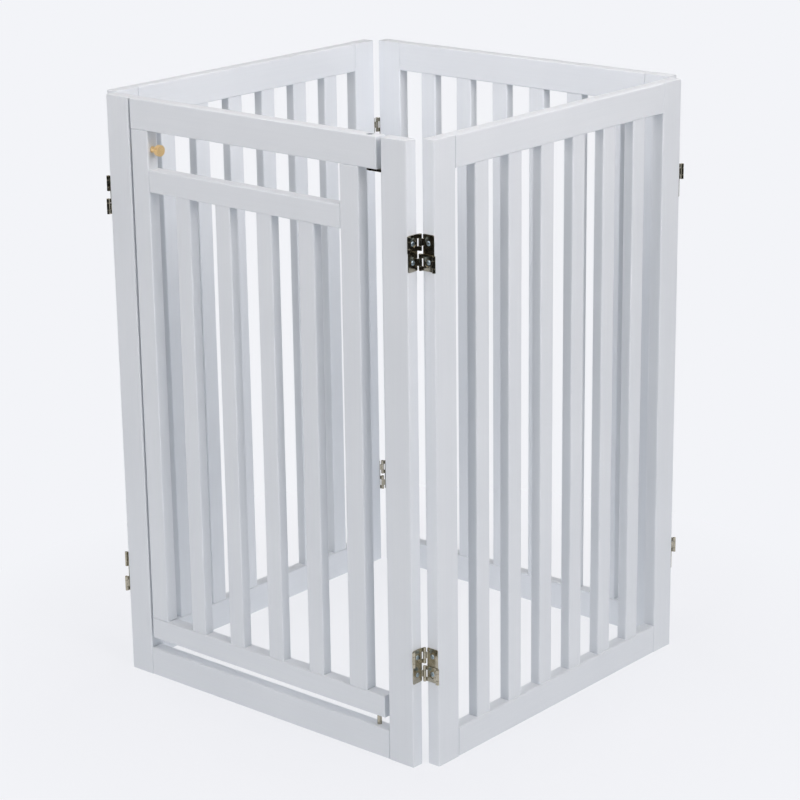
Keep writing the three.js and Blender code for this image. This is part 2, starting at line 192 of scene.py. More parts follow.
def bar_mesh(name, low, high, axis, edge=LONG_EDGE, end=END_EDGE, end_steps=3):
    """A board along one axis, its long edges rounded by edge and its ends by end."""
    middle = (low + high) / 2
    half = (high - low) / 2
    u_axis, v_axis = (axis + 1) % 3, (axis + 2) % 3
    angles = [math.pi / 2 * step / end_steps for step in range(end_steps + 1)]
    rings = [(-1, a) for a in reversed(angles)] + [(1, a) for a in angles]
    vertices, faces = [], []
    for sign, angle in rings:
        inset = end * (1 - math.cos(angle))
        along = sign * (half[axis] - end + end * math.sin(angle))
        radius = max(edge - inset, LEAST_CORNER)
        for u, v in section_points(half[u_axis] - inset, half[v_axis] - inset, radius):
            point = [0, 0, 0]
            point[axis], point[u_axis], point[v_axis] = along, u, v
            vertices.append(middle + Vector(point))
    count = len(vertices) // len(rings)
    for ring in range(len(rings) - 1):
        for k in range(count):
            a, b = ring * count + k, ring * count + (k + 1) % count
            faces.append((a, b, b + count, a + count))
    faces.append(tuple(reversed(range(count))))
    faces.append(tuple(range(len(vertices) - count, len(vertices))))
    return mesh_of(name, vertices, faces)


def lathe_mesh(name, profile, axis, origin, segments=40):
    """A solid turned about an axis. Its profile of (radius, distance along) starts and ends on the axis."""
    u_axis, v_axis = (axis + 1) % 3, (axis + 2) % 3
    origin = Vector(origin)
    vertices, faces, rings = [], [], []
    for radius, along in profile:
        ring = []
        for k in range(1 if radius == 0 else segments):
            angle = 2 * math.pi * k / segments
            point = [0, 0, 0]
            point[axis] = along
            point[u_axis], point[v_axis] = radius * math.cos(angle), radius * math.sin(angle)
            ring.append(len(vertices))
            vertices.append(origin + Vector(point))
        rings.append(ring)
    for one, two in zip(rings, rings[1:]):
        for k in range(segments):
            a, b = one[k % len(one)], one[(k + 1) % len(one)]
            c, d = two[(k + 1) % len(two)], two[k % len(two)]
            faces.append(tuple(dict.fromkeys((a, b, c, d))))
    mesh = mesh_of(name, vertices, faces)
    face_out(mesh)
    return mesh


def face_out(mesh):
    work = bmesh.new()
    work.from_mesh(mesh)
    bmesh.ops.recalc_face_normals(work, faces=work.faces)
    work.to_mesh(mesh)
    work.free()


def arc(centre_at, radius, start, end, steps):
    """Points (radius, along) on a circle in a lathe profile, between two angles in degrees."""
    points = []
    for step in range(steps + 1):
        angle = math.radians(start + (end - start) * step / steps)
        points.append((centre_at[0] + radius * math.cos(angle), centre_at[1] + radius * math.sin(angle)))
    return points


def cut_away(piece, cutter_mesh):
    """Subtracts a closed mesh from the piece."""
    cutter = add_object("cutter", cutter_mesh)
    tool = piece.modifiers.new("Cut", "BOOLEAN")
    tool.operation = "DIFFERENCE"
    tool.solver = "EXACT"
    tool.object = cutter
    apply_modifiers(piece)
    bpy.data.objects.remove(cutter)


def drill(piece, axis, origin, start, end, radius):
    """A round hole along an axis from start to end."""
    mouth = start - OVERRUN if end > start else start + OVERRUN
    profile = [(0, mouth), (radius, mouth), (radius, end), (0, end)]
    cut_away(piece, lathe_mesh("hole", profile, axis, origin, 32))


class Sheet:
    """The middle surface of a piece of bent sheet metal, made of faces that share their corners."""

    def __init__(self):
        self.work = bmesh.new()
        self.known = {}

    def vertex(self, point):
        key = tuple(round(value * 1e6) for value in point)
        if key not in self.known:
            self.known[key] = self.work.verts.new(point)
        return self.known[key]

    def face(self, *points):
        self.work.faces.new([self.vertex(point) for point in points])

    def strip(self, path, heights):
        """A ribbon along a path of (x, y), between heights."""
        for (x0, y0), (x1, y1) in zip(path, path[1:]):
            for z0, z1 in zip(heights, heights[1:]):
                self.face((x0, y0, z0), (x1, y1, z0), (x1, y1, z1), (x0, y0, z1))

    def round_corners(self, points, radius):
        corners = [self.vertex(point) for point in points]
        bmesh.ops.bevel(self.work, geom=corners, offset=radius, segments=4, profile=0.5, affect="VERTICES")

    def solid(self, name, thickness, edge):
        bmesh.ops.recalc_face_normals(self.work, faces=self.work.faces)
        mesh = bpy.data.meshes.new(name)
        self.work.to_mesh(mesh)
        self.work.free()
        piece = add_object(name, mesh)
        thicken = piece.modifiers.new("Sheet", "SOLIDIFY")
        thicken.thickness = thickness
        thicken.offset = 0
        thicken.use_even_offset = True
        soften = piece.modifiers.new("Edges", "BEVEL")
        soften.width = edge
        soften.segments = 2
        soften.limit_method = "ANGLE"
        soften.angle_limit = math.radians(50)
        apply_modifiers(piece)
        face_out(piece.data)
        even_shading(piece, 50)
        return piece


# ---------------------------------------------------------------- materials

class Nodes:
    """A node material, built with a few short calls."""

    def __init__(self, name):
        self.material = bpy.data.materials.new(name)
        self.material.use_nodes = True
        self.tree = self.material.node_tree
        self.shader = self.tree.nodes["Principled BSDF"]
        self.place = self.add("ShaderNodeTexCoord").outputs["Object"]

    def add(self, kind, **settings):
        node = self.tree.nodes.new(kind)
        for key, value in settings.items():
            setattr(node, key, value)
        return node

    def link(self, source, target):
        self.tree.links.new(source, target)

    def stretched(self, scale):
        mapping = self.add("ShaderNodeMapping")
        mapping.inputs["Scale"].default_value = scale
        self.link(self.place, mapping.inputs["Vector"])
        return mapping.outputs["Vector"]

    def noise(self, vector, scale, detail=2.0, roughness=0.5, distortion=0.0):
        node = self.add("ShaderNodeTexNoise")
        self.link(vector, node.inputs["Vector"])
        node.inputs["Scale"].default_value = scale
        node.inputs["Detail"].default_value = detail
        node.inputs["Roughness"].default_value = roughness
        node.inputs["Distortion"].default_value = distortion
        return node.outputs["Fac"]

    def ramp(self, factor, stops):
        node = self.add("ShaderNodeValToRGB")
        self.link(factor, node.inputs["Fac"])
        elements = node.color_ramp.elements
        while len(elements) < len(stops):
            elements.new(0.5)
        for element, (position, colour) in zip(elements, stops):
            element.position = position
            element.color = (*colour, 1)
        return node.outputs["Color"]

    def between(self, factor, low, high, out_low, out_high):
        node = self.add("ShaderNodeMapRange")
        self.link(factor, node.inputs["Value"])
        for key, value in (("From Min", low), ("From Max", high), ("To Min", out_low), ("To Max", out_high)):
            node.inputs[key].default_value = value
        return node.outputs["Result"]

    def multiply(self, factor, one, two):
        node = self.add("ShaderNodeMix", data_type="RGBA", blend_type="MULTIPLY")
        node.inputs["Factor"].default_value = factor
        self.link(one, node.inputs["A"])
        self.link(two, node.inputs["B"])
        return node.outputs["Result"]

    def bump(self, height, distance, strength=1.0, under=None):
        node = self.add("ShaderNodeBump")
        node.inputs["Distance"].default_value = distance
        node.inputs["Strength"].default_value = strength
        self.link(height, node.inputs["Height"])
        if under:
            self.link(under, node.inputs["Normal"])
        return node.outputs["Normal"]

    def finish(self, colour, roughness, normal, **sockets):
        self.link(colour, self.shader.inputs["Base Color"])
        self.link(roughness, self.shader.inputs["Roughness"])
        self.link(normal, self.shader.inputs["Normal"])
        for key, value in sockets.items():
            self.shader.inputs[key.replace("_", " ")].default_value = value
        return self.material


def white_paint(axis):
    """Satin paint, sprayed over smooth wood whose grain just shows as fine lines along the board."""
    m = Nodes("white_paint_along_" + "XYZ"[axis])
    along = [420.0, 420.0, 420.0]
    along[axis] = 9.0
    grain = m.noise(m.stretched(along), 1.0, 3.0, 0.55, 0.4)
    broad = [34.0, 34.0, 34.0]
    broad[axis] = 1.6
    figure = m.noise(m.stretched(broad), 1.0, 2.0, 0.5, 0.6)
    spray = m.noise(m.place, 950.0, 2.0, 0.5)
    cloud = m.noise(m.place, 7.0, 2.0, 0.5)
    body = m.ramp(cloud, [(0.3, (0.716, 0.748, 0.785)), (0.7, (0.744, 0.775, 0.810))])
    lines = m.ramp(grain, [(0.3, (0.984, 0.986, 0.988)), (0.62, (1.0, 1.0, 1.0))])
    bands = m.ramp(figure, [(0.3, (0.992, 0.992, 0.994)), (0.7, (1.0, 1.0, 1.0))])
    colour = m.multiply(1.0, m.multiply(1.0, body, lines), bands)
    roughness = m.between(m.noise(m.place, 60.0, 3.0, 0.6), 0.3, 0.7, 0.38, 0.5)
    normal = m.bump(grain, 0.02 * MM, 0.4, m.bump(spray, 0.012 * MM, 0.4))
    return m.finish(colour, roughness, normal, IOR=1.48)


def plated_steel(name, colour_low, colour_high, scratches=0.006 * MM, shine=(0.11, 0.2)):
    """Plated steel: fine drawing lines, cloudy roughness and a few dull spots."""
    m = Nodes(name)
    lines = m.noise(m.stretched((2600.0, 2600.0, 260.0)), 1.0, 2.0, 0.6)
    cloud = m.noise(m.place, 170.0, 3.0, 0.6, 0.5)
    spots = m.noise(m.place, 620.0, 2.0, 0.5)
    colour = m.ramp(cloud, [(0.3, colour_low), (0.72, colour_high)])
    dull = m.between(spots, 0.62, 0.75, 0.0, 0.1)
    total = m.add("ShaderNodeMath", operation="ADD")
    m.link(m.between(cloud, 0.3, 0.7, *shine), total.inputs[0])
    m.link(dull, total.inputs[1])
    normal = m.bump(lines, scratches, 0.6, m.bump(cloud, 0.03 * MM, 0.4))
    return m.finish(colour, total.outputs[0], normal, Metallic=1.0)


def turned_wood(axis_point):
    """Pale natural wood turned along X: rings across the ends and long fibres down the sides."""
    m = Nodes("turned_natural_wood")
    mapping = m.add("ShaderNodeMapping")
    mapping.inputs["Location"].default_value = -axis_point + Vector((0, 0.9 * MM, -1.3 * MM))
    m.link(m.place, mapping.inputs["Vector"])
    rings = m.add("ShaderNodeTexWave", wave_type="RINGS", rings_direction="X", wave_profile="SAW")
    m.link(mapping.outputs["Vector"], rings.inputs["Vector"])
    for key, value in (("Scale", 150.0), ("Distortion", 1.3), ("Detail", 2.0), ("Detail Scale", 1.4)):
        rings.inputs[key].default_value = value
    fibres = m.noise(m.stretched((90.0, 2200.0, 2200.0)), 1.0, 3.0, 0.6, 0.3)
    body = m.ramp(rings.outputs["Fac"], [
        (0.0, (0.82, 0.58, 0.27)),
        (0.7, (0.86, 0.63, 0.31)),
        (1.0, (0.62, 0.39, 0.16)),
    ])
    streaks = m.ramp(fibres, [(0.35, (0.86, 0.81, 0.74)), (0.6, (1.0, 1.0, 1.0))])
    colour = m.multiply(0.8, body, streaks)
    roughness = m.between(fibres, 0.3, 0.7, 0.5, 0.36)
    normal = m.bump(fibres, 0.04 * MM, 0.6)
    return m.finish(colour, roughness, normal, Coat_Weight=0.15, Coat_Roughness=0.3)


PAINT = [white_paint(axis) for axis in range(3)]
NICKEL = plated_steel("nickel_plate", (0.36, 0.335, 0.26), (0.52, 0.485, 0.40))
ZINC = plated_steel("zinc_screw", (0.32, 0.40, 0.46), (0.44, 0.54, 0.61), 0.004 * MM, (0.3, 0.42))
# Steel for the top pivot pin. Its dark blue-grey colour is painted shade and a painted dim reflection: it
# stands in for the shadow in the pin's recess and the dark reflection on its head.
SHADE_PAINTED_STEEL = plated_steel("pin_steel_painted_shade", (0.09, 0.11, 0.14), (0.15, 0.17, 0.21), 0.004 * MM, (0.26, 0.36))
KNOB_WOOD = turned_wood(centre("latch_bolt_and_knob"))


def settle(piece, material, body, stands_for=()):
    """Gives a finished piece its material and its body, and hides the parts of the frame that it stands for.
    """
    piece.data.materials.clear()
    piece.data.materials.append(material)
    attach(piece, body)
    if stands_for:
        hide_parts(*stands_for)


# ---------------------------------------------------------------- boards

def grain_axis(axis, panel):
    """The row axis that a panel's own axis lies along."""
    if axis == 2:
        return 2
    return 0 if panel in ("front", "back") else 1


def board(name, panel, body, low, high, axis, stands_for=(), end=END_EDGE, holes=(), recess=None):
    """A board in a panel's own frame, drilled where it has holes, and cut out between a recess's corners."""
    piece = add_object(name, bar_mesh(name, low, high, axis, end=end))
    for hole in holes:
        drill(piece, **hole)
    if recess:
        cut_away(piece, bar_mesh("recess", *recess, 2, **RECESS_EDGES))
    even_shading(piece)
    piece.data.transform(panel_matrix(panel))
    settle(piece, PAINT[grain_axis(axis, panel)], body, stands_for)


def tenon(name, panel, body, low, high, axis=0, holes=()):
    """The plain end of a rail or a stile that shows, painted, at the bottom of its joint lines."""
    inset = Vector([0 if i == axis else TENON_INSET for i in range(3)])
    reach = Vector([TENON_REACH if i == axis else 0 for i in range(3)])
    piece = add_object(name, bar_mesh(name, low + inset - reach, high - inset + reach, axis, **TENON_EDGES))
    for hole in holes:
        drill(piece, **hole)
    even_shading(piece)
    piece.data.transform(panel_matrix(panel))
    settle(piece, PAINT[grain_axis(axis, panel)], body)


def slat_boards(panel, body, prefix, left, right, bottom, top, count):
    """Slats spread evenly between two edges, each run on into the rails above and below."""
    gap = (right - left - count * SLAT_WIDTH) / (count + 1)
    for index in range(count):
        start = left + gap + index * (gap + SLAT_WIDTH)
        low = Vector((start, -SLAT_THICKNESS / 2, bottom - SLAT_INTO_RAIL))
        high = Vector((start + SLAT_WIDTH, SLAT_THICKNESS / 2, top + SLAT_INTO_RAIL))
        node = f"{prefix}_slat_{index + 1}"
        stands_for = (node,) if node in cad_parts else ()
        board(f"{node}_board", panel, body, low, high, 2, stands_for)


def rail_with_tenon(node, panel, body, low, high, left, right, **more):
    """A rail, and a tenon that crosses the joint lines to the edges on its left and its right."""
    board(f"{node}_board", panel, body, low, high, 0, (node,), **more)
    tenon(f"{node}_tenon", panel, body, Vector((left, low.y, low.z)), Vector((right, high.y, high.z)))


def build_plain_panel(panel):
    body = BODY[panel]
    first, second = (local_box(f"{panel}_{which}_stile", panel) for which in ("first", "second"))
    for which, (low, high) in (("first", first), ("second", second)):
        node = f"{panel}_{which}_stile"
        board(f"{node}_board", panel, body, low, high, 2, (node,))
    left, right = first[1].x, second[0].x
    low, high = local_box(f"{panel}_top_rail", panel)
    rail_with_tenon(f"{panel}_top_rail", panel, body, low, high, left, right)
    top = low.z
    low, high = local_box(f"{panel}_bottom_rail_and_slats", panel)
    high.z = low.z + RAIL_HEIGHT
    rail_with_tenon(f"{panel}_bottom_rail_and_slats", panel, body, low, high, left, right)
    slat_boards(panel, body, panel, left, right, high.z, top, PANEL_SLATS)


def build_front_panel(pivot, bolt):
    """The front frame and its door, bored for the pivot pins and the bolt."""
    panel, body = "front", BODY["front"]
    upright = dict(axis=2, origin=(pivot.x, 0, 0))
    level = dict(axis=0, origin=(0, 0, bolt.z), radius=BOLT_HOLE)

    low, high = local_box("front_left_stile", panel)
    inner_left = high.x
    socket = dict(level, start=high.x, end=high.x - BOLT_SOCKET_DEPTH)
    board("front_left_stile_board", panel, body, low, high, 2, ("front_left_stile",), holes=[socket])
    low, high = local_box("front_right_stile", panel)
    inner_right = low.x
    flange_low, flange_high = local_box("door_top_pivot_bracket", panel)
    flange_low.x = low.x - OVERRUN
    gap = Vector((RECESS_GAP, RECESS_GAP, RECESS_GAP))
    recess = (flange_low - gap, flange_high + gap)
    board("front_right_stile_board", panel, body, low, high, 2, ("front_right_stile",), recess=recess)
    low, high = local_box("front_threshold", panel)
    hole = dict(upright, start=high.z, end=high.z - PIVOT_HOLE_DEPTH, radius=PIVOT_HOLE)
    rail_with_tenon("front_threshold", panel, body, low, high, inner_left, inner_right, holes=[hole])

    low, high = local_box("door_top_rail", panel)
    pin_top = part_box("door_top_pivot_pin")[1].z
    seat = dict(upright, start=high.z, end=pin_top - PIVOT_SEAT, radius=PIVOT_SEAT_RADIUS)
    through = dict(upright, start=high.z, end=low.z - OVERRUN, radius=PIVOT_HOLE)
    board("door_top_rail_board", panel, "door", low, high, 0, ("door_top_rail",), holes=[seat, through])
    low, high = local_box("door_bottom_rail", panel)
    bottom_rail_top = high.z
    hole = dict(upright, start=low.z, end=low.z + PIVOT_HOLE_DEPTH, radius=PIVOT_HOLE)
    board("door_bottom_rail_board", panel, "door", low, high, 0, ("door_bottom_rail",), holes=[hole])

    latch = local_box("door_latch_stile", panel)
    hinge = local_box("door_hinge_stile", panel)
    hole = dict(level, start=latch[1].x, end=latch[0].x - OVERRUN)
    board("door_latch_stile_board", panel, "door", *latch, 2, ("door_latch_stile",), holes=[hole])
    board("door_hinge_stile_board", panel, "door", *hinge, 2, ("door_hinge_stile",))
    tenon("door_latch_stile_tenon", panel, "door", *latch, axis=2, holes=[hole])
    tenon("door_hinge_stile_tenon", panel, "door", *hinge, axis=2)
    left, right = latch[1].x, hinge[0].x
    low, high = local_box("door_mid_rail", panel)
    rail_with_tenon("door_mid_rail", panel, "door", low, high, left, right, end=MID_RAIL_EDGE)
    slat_boards(panel, "door", "door", left, right, bottom_rail_top, low.z, DOOR_SLATS)


# ---------------------------------------------------------------- hinges

def smooth_step(t):
    return t * t * (3 - 2 * t)


def rolled_path(root_x, root_y, side, steps=6, turn_steps=18, wrap=300):
    """From a sheet's flat part to its knuckle: an easy bend, then most of a turn round the pin."""
    path = []
    for step in range(steps):
        t = step / steps
        x = root_x + (AXIS_OUT - ROLL_RADIUS - root_x) * smooth_step(t)
        path.append((x, side * (root_y + (AXIS_SIDE - root_y) * t)))
    for step in range(turn_steps + 1):
        angle = math.radians(wrap * step / turn_steps)
        x = AXIS_OUT - ROLL_RADIUS * math.cos(angle)
        path.append((x, side * (AXIS_SIDE + ROLL_RADIUS * math.sin(angle))))
    return path


def leaf_template():
    """A hinge's leaf: a plate with a tongue rolled into a knuckle at each side, one high and one low."""
    half_width, half_height = LEAF_HALF
    low, high = LEAF_TONGUE
    cut_low, cut_high = low - TONGUE_SLOT, high + TONGUE_SLOT
    heights = [-half_height, -cut_high, -high, -low, -cut_low, cut_low, low, high, cut_high, half_height]
    sheet = Sheet()
    for y0, y1 in ((-half_width, -TONGUE_ROOT), (-TONGUE_ROOT, TONGUE_ROOT), (TONGUE_ROOT, half_width)):
        for z0, z1 in zip(heights, heights[1:]):
            outer_slot = y0 < -TONGUE_ROOT and z0 >= cut_low and z1 <= cut_high
            inner_slot = y1 > TONGUE_ROOT and z0 >= -cut_high and z1 <= -cut_low
            if not outer_slot and not inner_slot:
                x = LEAF_MIDDLE
                sheet.face((x, y0, z0), (x, y1, z0), (x, y1, z1), (x, y0, z1))
    sheet.strip(rolled_path(LEAF_MIDDLE, TONGUE_ROOT, -1), [low, high])
    sheet.strip(rolled_path(LEAF_MIDDLE, TONGUE_ROOT, 1), [-high, -low])
    corners = [(LEAF_MIDDLE, y, z) for y in (-half_width, half_width) for z in (-half_height, half_height)]
    sheet.round_corners(corners, LEAF_CORNER)
    return sheet.solid("leaf_template", HINGE_SHEET, HINGE_EDGE)


def link_template():
    """A hinge's link: a plate round an oval window, with two knuckles rolled at each side."""
    low, tab_low, tab_high, high = LINK_ROWS
    sheet = Sheet()
    lower, upper = [low, (low + tab_low) / 2, tab_low], [tab_high, (tab_high + high) / 2, high]
    side_heights = lower + WINDOW_ROWS + upper
    across = [TAB_ROOT * share for share in (0.66, 0.33, 0.0, -0.33, -0.66)]
    rim = [(TAB_ROOT, z) for z in side_heights] + [(y, high) for y in across]
    rim += [(-TAB_ROOT, z) for z in reversed(side_heights)] + [(-y, low) for y in across]
    window = []
    for y, z in rim:
        angle = math.atan2((z - WINDOW_CENTRE) / (high - WINDOW_CENTRE), y / TAB_ROOT)
        window.append((WINDOW_HALF[0] * math.cos(angle), WINDOW_CENTRE + WINDOW_HALF[1] * math.sin(angle)))
    for k in range(len(rim)):
        (y0, z0), (y1, z1) = rim[k], rim[(k + 1) % len(rim)]
        (v0, w0), (v1, w1) = window[k], window[(k + 1) % len(rim)]
        x = LINK_MIDDLE
        sheet.face((x, y0, z0), (x, y1, z1), (x, v1, w1), (x, v0, w0))
    for side in (-1, 1):
        for rows in (lower, upper):
            sheet.strip(rolled_path(LINK_MIDDLE, TAB_ROOT, side, 3), rows)
    return sheet.solid("link_template", HINGE_SHEET, HINGE_EDGE)


def pin_mesh(name):
    """The two pins of a link, a little domed at their ends."""
    low, high = PIN_ENDS
    flat = PIN_RADIUS - PIN_DOME
    profile = [(0, low)] + arc((flat, low + PIN_DOME), PIN_DOME, -90, 0, 4)
    profile += arc((flat, high - PIN_DOME), PIN_DOME, 0, 90, 4) + [(0, high)]
    meshes = [lathe_mesh(name, profile, 2, (AXIS_OUT, side * AXIS_SIDE, 0), 20) for side in (-1, 1)]
    work = bmesh.new()
    for mesh in meshes:
        work.from_mesh(mesh)
    joined = bpy.data.meshes.new(name)
    work.to_mesh(joined)
    work.free()
    return joined


def screw_template():
    """An oval head with a cross recess, its axis along X and its rim on the leaf."""
    profile = [(0, -SCREW_IN_WOOD), (SCREW_SHANK, -SCREW_IN_WOOD), (SCREW_SHANK, SCREW_SEAT)]
    profile.append((SCREW_HEAD, SCREW_SEAT + 0.05 * MM))
    for radius, rise in ((3.0, 0.2), (2.8, 0.42), (2.2, 0.66), (1.4, 0.82), (0, 0.9)):
        profile.append((radius * MM, SCREW_SEAT + rise * MM))
    piece = add_object("screw_template", lathe_mesh("screw_template", profile, 0, (0, 0, 0), 36))
    heights = (SCREW_SEAT - 0.3 * MM, SCREW_SEAT + 1.1 * MM)
    corners = [(x, y * half_length, z * half_width)
               for x, (half_length, half_width) in zip(heights, SCREW_CROSS)
               for y, z in ((-1, -1), (1, -1), (1, 1), (-1, 1))]
    for turn in (0, math.pi / 2):
        slot = mesh_of("cross", corners, SLOT_FACES)
        slot.transform(Matrix.Rotation(turn, 4, "X"))
        face_out(slot)
        cut_away(piece, slot)
    even_shading(piece, 30)
    return piece


def build_hinges():
    """A leaf, a link, its pins and two screws for every leaf in the frame. Returns a spare screw."""
    leaf, link, screw = leaf_template(), link_template(), screw_template()
    pins = add_object("pin_template", pin_mesh("pin_template"))
    even_shading(pins, 60)
    turn_over = Matrix.Rotation(math.pi, 4, "Y")
    screws = 0
    for node in sorted(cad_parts):
        if not node.endswith("_leaf"):
            continue
        base = node.removesuffix("_leaf")
        panel = base.split("_")[-1]
        place = panel_matrix(panel).inverted() @ centre(node)
        side = 1 if place.x > 0 else -1
        mount = panel_matrix(panel) @ Matrix.Translation((side * PANEL_END, 0, place.z))
        if side < 0:
            mount = mount @ turn_over
        parts = (("leaf_plate", leaf, (node,)), ("link_plate", link, (base + "_link",)), ("pins", pins, ()))
        for suffix, template, stands_for in parts:
            piece = add_object(f"{base}_{suffix}", template.data.copy())
            piece.data.transform(mount)
            settle(piece, NICKEL, BODY[panel], stands_for)
        for which, height in (("upper", SCREW_HEIGHT), ("lower", -SCREW_HEIGHT)):
            screws += 1
            piece = add_object(f"{base}_screw_{which}", screw.data.copy())
            turn = Matrix.Rotation(math.radians(SCREW_TURN * screws), 4, "X")
            piece.data.transform(mount @ Matrix.Translation((0, 0, height)) @ turn)
            settle(piece, ZINC, BODY[panel])
    for template in (leaf, link, pins):
        bpy.data.objects.remove(template)
    return screw


# ---------------------------------------------------------------- door fittings

def settle_turned(node, suffix, mesh, sharp_degrees, material, body):
    """Finishes a turned piece that stands for a node, from its mesh in the front panel's own frame."""
    piece = add_object(f"{node}_{suffix}", mesh)
    even_shading(piece, sharp_degrees)
    piece.data.transform(panel_matrix("front"))
    settle(piece, material, body, (node,))


def build_pivot_pins(pivot):
    """A plain pin in the threshold, and a headed one that hangs from the door's top rail."""
    narrow = PIVOT_RADIUS - PIVOT_EASE
    axis_at = (pivot.x, 0, 0)

    low, high = local_box("door_bottom_pivot_pin", "front")
    profile = [(0, low.z), (narrow, low.z), (PIVOT_RADIUS, low.z + PIVOT_EASE)]
    profile += [(PIVOT_RADIUS, high.z - PIVOT_EASE), (narrow, high.z), (0, high.z)]
    mesh = lathe_mesh("bottom_pin", profile, 2, axis_at)
    settle_turned("door_bottom_pivot_pin", "steel", mesh, 25, NICKEL, "front_frame")

    low, high = local_box("door_top_pivot_pin", "front")
    head = high.z - PIVOT_HEAD
    profile = [(0, low.z), (narrow, low.z), (PIVOT_RADIUS, low.z + PIVOT_EASE), (PIVOT_RADIUS, head)]
    profile += [(4.6 * MM, head), (5.0 * MM, head + 0.4 * MM)]
    for radius, drop in ((5.0, 0.7), (4.85, 0.3), (4.4, 0.05), (3.7, 0), (2.5, 0.15), (2.2, 0.9), (0, 1.2)):
        profile.append((radius * MM, high.z - drop * MM))
    mesh = lathe_mesh("top_pin", profile, 2, axis_at)
    # The head's dark colour is painted shade and a painted dim reflection, not the pin's own tone.
    settle_turned("door_top_pivot_pin", "steel", mesh, 30, SHADE_PAINTED_STEEL, "door")


def build_bracket(pivot, screw):
    """An angle of thick sheet: a shelf under the door's top rail, and a flange let into the stile."""
    low, high = local_box("door_top_pivot_bracket", "front")
    half = BRACKET_SHEET / 2
    corner_x, corner_z = high.x - half - BRACKET_BEND, high.z - half - BRACKET_BEND
    path = [(low.x, high.z - half), (corner_x, high.z - half)]
    for step in range(1, 7):
        angle = math.pi / 2 * step / 6
        path.append((corner_x + BRACKET_BEND * math.sin(angle), corner_z + BRACKET_BEND * math.cos(angle)))
    path += [(high.x - half, low.z)]
    sheet = Sheet()
    for (x0, z0), (x1, z1) in zip(path, path[1:]):
        sheet.face((x0, low.y, z0), (x0, high.y, z0), (x1, high.y, z1), (x1, low.y, z1))
    for (x, z), radius in ((path[0], BRACKET_SHELF_CORNER), (path[-1], BRACKET_FOOT_CORNER)):
        sheet.round_corners([(x, y, z) for y in (low.y, high.y)], radius)
    bracket = sheet.solid("door_top_pivot_bracket_steel", BRACKET_SHEET, BRACKET_EDGE)
    below = high.z - BRACKET_SHEET - OVERRUN
    drill(bracket, axis=2, origin=(pivot.x, 0, 0), start=high.z, end=below, radius=PIVOT_BRACKET_HOLE)
    even_shading(bracket, 40)
    bracket.data.transform(panel_matrix("front"))
    settle(bracket, NICKEL, "front_frame", ("door_top_pivot_bracket",))

    face = high.x - BRACKET_SHEET + SCREW_SEAT - BRACKET_SCREW_SUNK
    turn_round = Matrix.Rotation(math.pi, 4, "Z")
    for index, drop in enumerate(BRACKET_SCREW_DROPS):
        piece = add_object(f"door_top_pivot_bracket_screw_{index + 1}", screw.data.copy())
        mount = panel_matrix("front") @ Matrix.Translation((face, 0, high.z - drop)) @ turn_round
        piece.data.transform(mount @ Matrix.Rotation(0.6 + index, 4, "X"))
        settle(piece, ZINC, "front_frame")
    bpy.data.objects.remove(screw)


def build_bolt(bolt):
    """One turned dowel: a rounded tip, a waist behind the knob, and the flared knob."""
    low, high = local_box("latch_bolt_and_knob", "front")
    tip, face = low.x, high.x
    neck = face - KNOB_LENGTH
    flat = BOLT_RADIUS - BOLT_TIP_ROUNDING
    profile = [(0, tip), (flat, tip)] + arc((flat, tip + BOLT_TIP_ROUNDING), BOLT_TIP_ROUNDING, -90, 0, 4)
    for radius, start, rise, length in (
        (BOLT_RADIUS, neck - 6 * MM, KNOB_WAIST - BOLT_RADIUS, 2.5 * MM),
        (KNOB_WAIST, neck - 0.8 * MM, 4.0 * MM, 4.2 * MM),
    ):
        profile += [(radius + rise * smooth_step(step / 8), start + length * step / 8) for step in range(9)]
    profile += arc((KNOB_RADIUS - KNOB_RIM, face - 0.35 * MM - KNOB_RIM), KNOB_RIM, 0, 90, 6)
    profile += [(4.0 * MM, face - 0.1 * MM), (0, face)]
    mesh = lathe_mesh("bolt", profile, 0, (0, 0, bolt.z), 56)
    settle_turned("latch_bolt_and_knob", "wood", mesh, 40, KNOB_WOOD, "latch_bolt")


to_front = panel_matrix("front").inverted()
pivot_place = to_front @ centre("door_bottom_pivot_pin")
bolt_place = to_front @ centre("latch_bolt_and_knob")
for plain in PANELS[1:]:
    build_plain_panel(plain)
build_front_panel(pivot_place, bolt_place)
spare_screw = build_hinges()
build_pivot_pins(pivot_place)
build_bracket(pivot_place, spare_screw)
build_bolt(bolt_place)


# ---------------------------------------------------------------- floor, light and camera

BACKDROP = (0.896, 0.905, 0.939)
FLOOR_DROP = 0.2 * MM     # below the feet
LAMP_COLOUR = (1.0, 0.955, 0.95)
CAMERA_AT = (2.10189, -2.44088, 1.37369)
CAMERA_TURN, CAMERA_DOWN, CAMERA_TILT = 130.7171, 17.3407, -0.7658  # degrees
CAMERA_LENS = 111.856     # mm, on a sensor 36 mm wide


